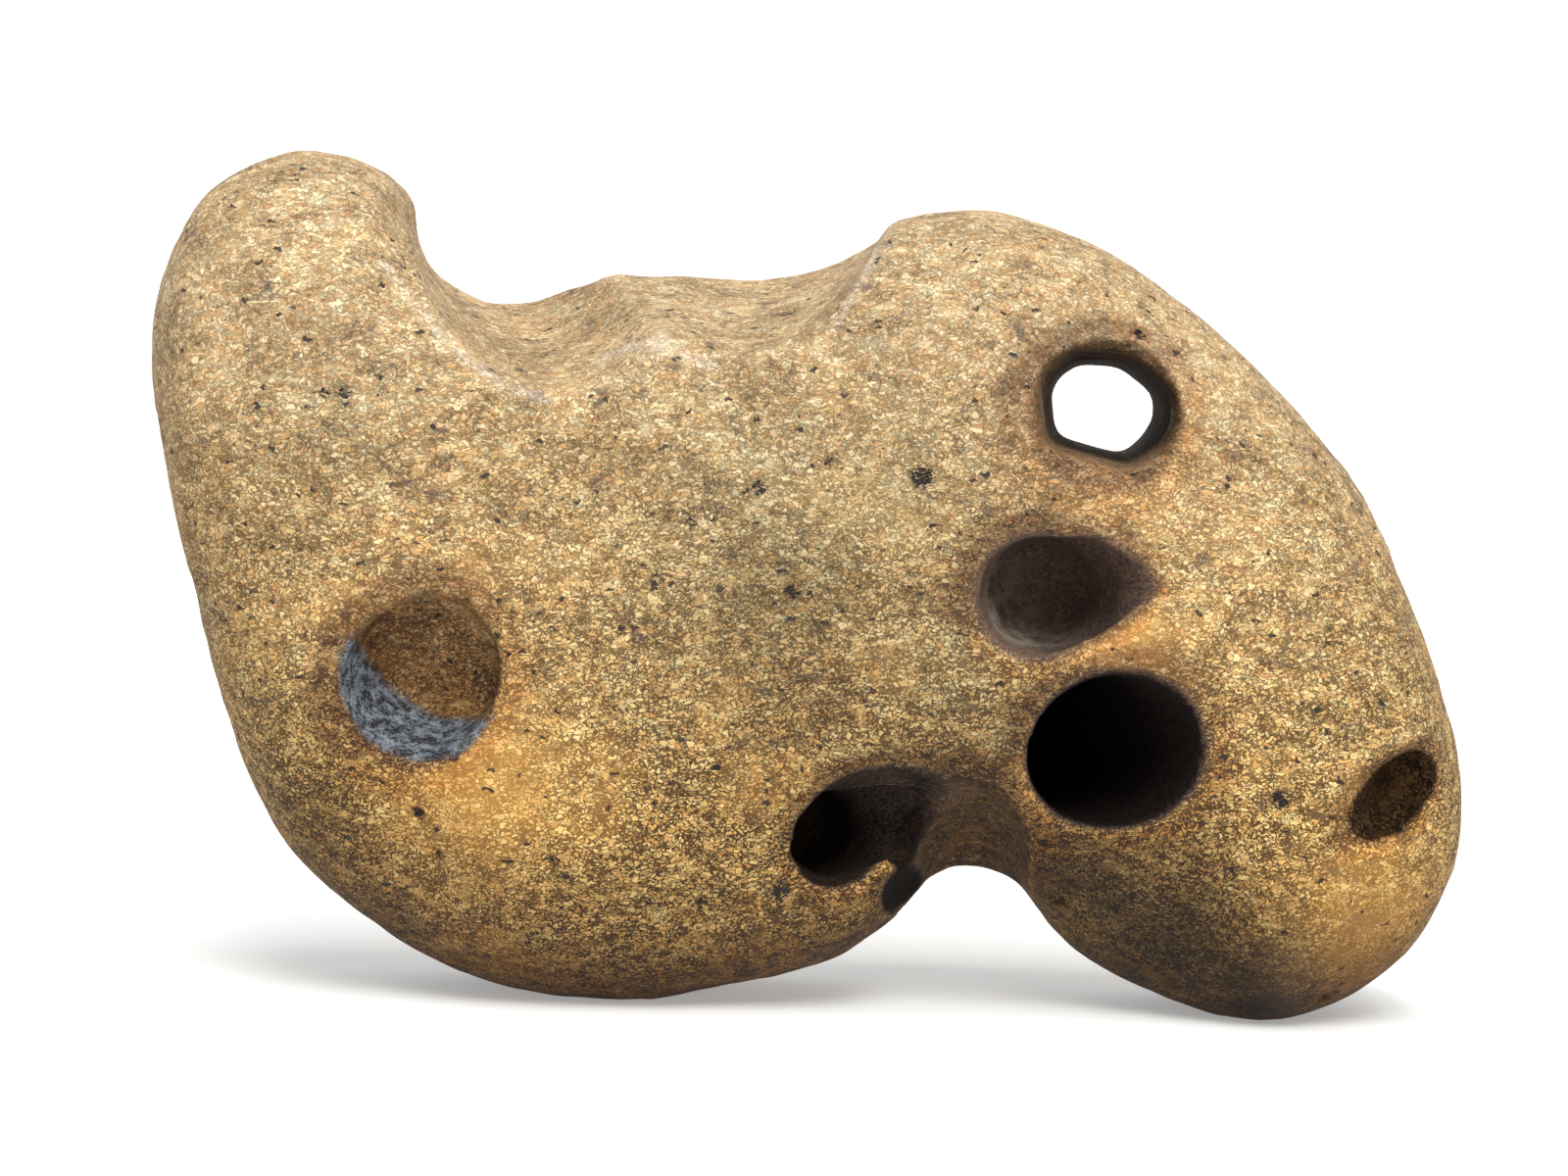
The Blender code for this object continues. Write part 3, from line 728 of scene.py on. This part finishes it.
def shifted(colour, reach, vector):
    """A vector plus a noise's colour times the reach, which bends the pattern that reads it."""
    node = add("ShaderNodeVectorMath", {"operation": "MULTIPLY_ADD"})
    feed(node.inputs[0], colour)
    feed(node.inputs[1], (reach, reach, reach))
    feed(node.inputs[2], vector)
    return node.outputs["Vector"]


def kept(name):
    """The number that the mesh keeps under a name."""
    return add("ShaderNodeAttribute", {"attribute_name": name}).outputs["Fac"]


# Patterns in millimetres, most of them stretched along the stone and bent a little.
metres = add("ShaderNodeTexCoord").outputs["Object"]
place = add("ShaderNodeMapping", Vector=metres, Scale=(1 / MM, 1 / MM, 1 / MM)).outputs["Vector"]
flow = noise_node(place, FLOW_SIZE, Detail=1.0).outputs["Color"]
lying = add("ShaderNodeMapping", Vector=shifted(flow, FLOW_REACH, place), Scale=LIE_SHARES)
feed(lying.inputs["Rotation"], (0, math.radians(LIE_ANGLE), 0))
lying = lying.outputs["Vector"]
fine = noise(lying, FINE_SIZE, 2.0, 0.6)
clumps = noise(lying, CLUMP_SIZE, 3.0, 0.6)
patches = noise(lying, PATCH_SIZE, 2.0, 0.6)
mottle = noise(place, MOTTLE_SIZE, 4.0, 0.62)
jitter = noise_node(place, JITTER_SIZE, Detail=1.0).outputs["Color"]
shaken = shifted(jitter, JITTER_REACH, lying)
grains = cells(shaken, GRAIN_SIZE).outputs["Color"]
grain_edge = cells(shaken, GRAIN_SIZE, "DISTANCE_TO_EDGE").outputs["Distance"]
open_share = spread(clumps, 0.38, 0.66, 0.08, 0.30)
crevice = spread(spread(grain_edge, open_share, 0.02), 0.1, 0.7)
swirled = shifted(jitter, STROKE_REACH, lying)
stroke_edge = cells(swirled, STROKE_SIZE, "DISTANCE_TO_EDGE").outputs["Distance"]
stroke = product(spread(stroke_edge, 0.085, 0.03), spread(patches, 0.50, 0.56))

# The grains' own colours, the dark gaps between them, and the tones of whole areas, with painted light
# that pales the top, painted shade on undersides, and pale worn lines with a painted highlight.
tint = blend(0.45, channel(grains, "Red"), fine)
hue = channel(grains, "Green")
sand = ramp(tint, [(0.18, TAN), (0.42, OCHRE), (0.68, STRAW), (0.86, PALE_GRAIN)])
sand = blend(spread(hue, 0.80, 0.83, 0.0, 0.5), sand, GREEN_GRAIN)
sand = blend(spread(hue, 0.16, 0.13, 0.0, 0.3), sand, RUSTY_GRAIN)
sand = blend(spread(patches, 0.40, 0.30, 0.0, 0.45), sand, LICHEN_CREAM)
# Dark gaps and strokes fade towards the top: painted light.
sand = blend(product(crevice, spread(kept("height"), 0.0, 1.0, 1.0, 0.55)), sand, UMBER)
sand = blend(product(stroke, spread(kept("height"), 0.0, 1.0, 0.85, 0.6)), sand, UMBER)
sand = blend(kept("dull"), sand, DULL_TONE, "MULTIPLY")
sand = blend(spread(mottle, 0.46, 0.66, 0.0, 0.5), sand, MOTTLE, "MULTIPLY")
sand = blend(spread(mottle, 0.30, 0.46, 0.2, 0.0), sand, WARM_PATCH)
sand = blend(spread(patches, 0.65, 0.72, 0.0, 0.55), sand, VIOLET_GREY)
sand = blend(kept("grey"), sand, GREY_TONE, "MULTIPLY")
sand = blend(product(kept("warm"), 0.4), sand, WARM_PATCH)
# Painted shade: undersides darker.
sand = blend(kept("underside_shade"), sand, UNDERSIDE_SHADE_TONE, "MULTIPLY")
# Painted light: warmer low on the stone, greyer and paler high up.
sand = blend(1.0, sand, blend(kept("height"), LOW_TONE, HIGH_TONE), "MULTIPLY")
sand = blend(spread(kept("crest"), 0.3, 1.0, 0.0, 0.25), sand, CREAM)
# Pale worn lines on the lip, partly painted highlight.
sand = blend(product(kept("worn_highlight_line"), spread(fine, 0.40, 0.65, 0.0, 0.5)), sand, WORN_HIGHLIGHT_WHITE)

# Black grains, and the dark floors of pits.
specks = cells(shaken, SPECK_SIZE)
chance = channel(specks.outputs["Color"], "Red")
speck = product(spread(specks.outputs["Distance"], 0.34, 0.24), spread(chance, 0.87, 0.90))
sand = blend(product(speck, 0.9), sand, BLACK_GRAIN)
ragged_pit = combined(kept("pit"), spread(fine, 0.3, 0.7, -0.35, 0.35), "ADD")
sand = blend(spread(ragged_pit, 0.75, 0.95), sand, BLACK_GRAIN)

# Orange stain and painted shade on the rims, painted shade on the foot and walls, then painted skylight,
# painted grey shade and painted dark shade, and last a painted lighter pocket wall and painted glints.
sand = blend(product(kept("rim_glow"), 0.5), sand, RIM_STAIN, "MULTIPLY")
# Painted shade on the rims' upper left.
sand = blend(product(kept("rim_shade"), 0.8), sand, RIM_SHADE, "MULTIPLY")
# Painted shade on the foot's lower left facet.
sand = blend(kept("painted_foot_shade"), sand, FOOT_SHADE, "MULTIPLY")
# Painted shade on the burrow walls.
sand = blend(kept("wall"), sand, WALL_SHADE, "MULTIPLY")
# Painted bluish skylight and shade in the slanted pocket.
painted_skylight = blend(0.4, noise(lying, SKYLIGHT_SIZE, 3.0, 0.65), fine)
painted_skylight = blend(spread(painted_skylight, 0.44, 0.60), SKYLIGHT_DARK, SKYLIGHT_BLUE)
sand = blend(product(kept("painted_skylight"), 0.95), sand, painted_skylight)
# Painted shade: burrow walls mixed towards a dull grey.
sand = blend(kept("painted_grey_shade"), sand, blend(spread(fine, 0.42, 0.58), SHADE_GREY_DARK, SHADE_GREY))
# Painted shade: burrow walls multiplied towards near black.
sand = blend(kept("painted_shade"), sand, DEEP_SHADE, "MULTIPLY")
# Painted light: the egg pocket's left wall lightened.
sand = blend(product(kept("painted_wall_light"), spread(clumps, 0.40, 0.60, 0.2, 0.9)), sand, PAINTED_WALL_LIGHT_GREY)
# Painted glints: white specks for sparkles in the through hole.
sand = blend(product(kept("glint"), spread(fine, 0.50, 0.56)), sand, GLINT_WHITE)
feed(surface.inputs["Base Color"], sand)

# Grains stand up from the gaps between them, and walls with painted shade shine less.
height = blend(stroke, blend(crevice, blend(0.6, clumps, fine), (0.1, 0.1, 0.1, 1)), (0, 0, 0, 1))
bump = add("ShaderNodeBump", Strength=BUMP_STRENGTH, Distance=BUMP_HEIGHT, Height=height)
feed(surface.inputs["Normal"], bump.outputs["Normal"])
feed(surface.inputs["Specular IOR Level"], spread(kept("painted_shade"), 0.0, 1.0, OPEN_SHINE, DEEP_SHINE))
feed(surface.inputs["Roughness"], ROUGHNESS)

skin.materials.append(sandstone)
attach(stone, "root")
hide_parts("stone")


# THE STAGE
# A sheet of white board that lies level under the stone and sweeps up far behind it, as in a photo studio.
# Away from the stone the board is lit up until it is plain white.

STAGE_WIDTH = 4400.0
FLOOR_FRONT = -1600.0
SWEEP_START = 1100.0
SWEEP_RADIUS = 400.0
SWEEP_STEPS = 24
WALL_TOP = 2000.0
CARD_WHITE = (0.80, 0.80, 0.79, 1.0)
CARD_ROUGHNESS = 0.9
GLOW_FROM, GLOW_TO = 0.28, 0.65
GLOW_NEAR, GLOW_FAR = 0.3, 0.85


def stage_surface():
    """A profile carried along X: level, then a quarter circle, then upright."""
    angle = np.linspace(0, np.pi / 2, SWEEP_STEPS)
    wall_y = SWEEP_START + SWEEP_RADIUS
    y = np.concatenate([[FLOOR_FRONT], SWEEP_START + SWEEP_RADIUS * np.sin(angle), [wall_y]])
    z = np.concatenate([[0.0], SWEEP_RADIUS * (1 - np.cos(angle)), [WALL_TOP]])
    grid = np.empty((len(y), 2, 3))
    grid[:, :, 0] = (-STAGE_WIDTH / 2, STAGE_WIDTH / 2)
    grid[:, :, 1] = y[:, None]
    grid[:, :, 2] = z[:, None]
    return grid


profile = stage_surface()
left = np.arange(len(profile) - 1) * 2
quads = np.stack([left, left + 1, left + 3, left + 2], axis=1)
board_mesh = bpy.data.meshes.new("white_board")
board_mesh.from_pydata((profile.reshape(-1, 3) * MM).tolist(), [], quads.tolist())
board_mesh.shade_smooth()
board = bpy.data.objects.new("white_board", board_mesh)
bpy.context.scene.collection.objects.link(board)

card = bpy.data.materials.new("white_card")
card.use_nodes = True
tree = card.node_tree
surface = tree.nodes["Principled BSDF"]
away = add("ShaderNodeVectorMath", {"operation": "LENGTH"})
feed(away.inputs[0], add("ShaderNodeTexCoord").outputs["Object"])
feed(surface.inputs["Base Color"], CARD_WHITE)
feed(surface.inputs["Roughness"], CARD_ROUGHNESS)
feed(surface.inputs["Emission Color"], (1.0, 1.0, 1.0, 1.0))
glow = spread(away.outputs["Value"], GLOW_FROM, GLOW_TO, GLOW_NEAR, GLOW_FAR)
feed(surface.inputs["Emission Strength"], glow)
board_mesh.materials.append(card)


# LIGHT AND CAMERA
# Three soft lights: the key above and in front, a little to the right, a weaker one overhead, and a weak
# warm one low in front at the right. The camera stands 300 mm off, level with the stone's middle and turned
# a little on its own axis.

STONE_MIDDLE = (0.0, 0.0, 0.04)
STONE_FOOT = (0.0, 0.0, 0.03)
SKY = (0.95, 0.97, 1.0, 1.0)
SKY_STRENGTH = 0.25
CAMERA_PLACE = (-0.0024, -0.3004, 0.0413)
CAMERA_ROLL = -1.78
FOCAL_LENGTH = 67.5
SENSOR_WIDTH = 36.0


def soft_light(name, place, target, size, watts, colour):
    """A square soft box that faces its target."""
    light = bpy.data.lights.new(name, "AREA")
    light.size = size
    light.energy = watts
    light.color = colour
    lamp = bpy.data.objects.new(name, light)
    lamp.location = place
    lamp.rotation_euler = (Vector(target) - Vector(place)).to_track_quat("-Z", "Y").to_euler()
    bpy.context.scene.collection.objects.link(lamp)


soft_light("key", (0.10, -0.50, 0.50), STONE_MIDDLE, 0.36, 4.8, (1.0, 1.0, 0.98))
soft_light("overhead", (0.0, -0.12, 0.62), STONE_MIDDLE, 0.36, 2.3, (0.97, 0.99, 1.0))
soft_light("fill", (0.25, -0.60, 0.05), STONE_FOOT, 0.40, 0.6, (1.0, 0.80, 0.52))
world = bpy.data.worlds.new("studio")
world.use_nodes = True
world.node_tree.nodes["Background"].inputs["Color"].default_value = SKY
world.node_tree.nodes["Background"].inputs["Strength"].default_value = SKY_STRENGTH
bpy.context.scene.world = world
bpy.context.scene.view_settings.view_transform = "Standard"

lens = bpy.data.cameras.new("camera")
lens.lens = FOCAL_LENGTH
lens.sensor_width = SENSOR_WIDTH
camera = bpy.data.objects.new("camera", lens)
camera.location = CAMERA_PLACE
camera.rotation_euler = (math.radians(90), math.radians(CAMERA_ROLL), 0)
bpy.context.scene.collection.objects.link(camera)
bpy.context.scene.camera = camera
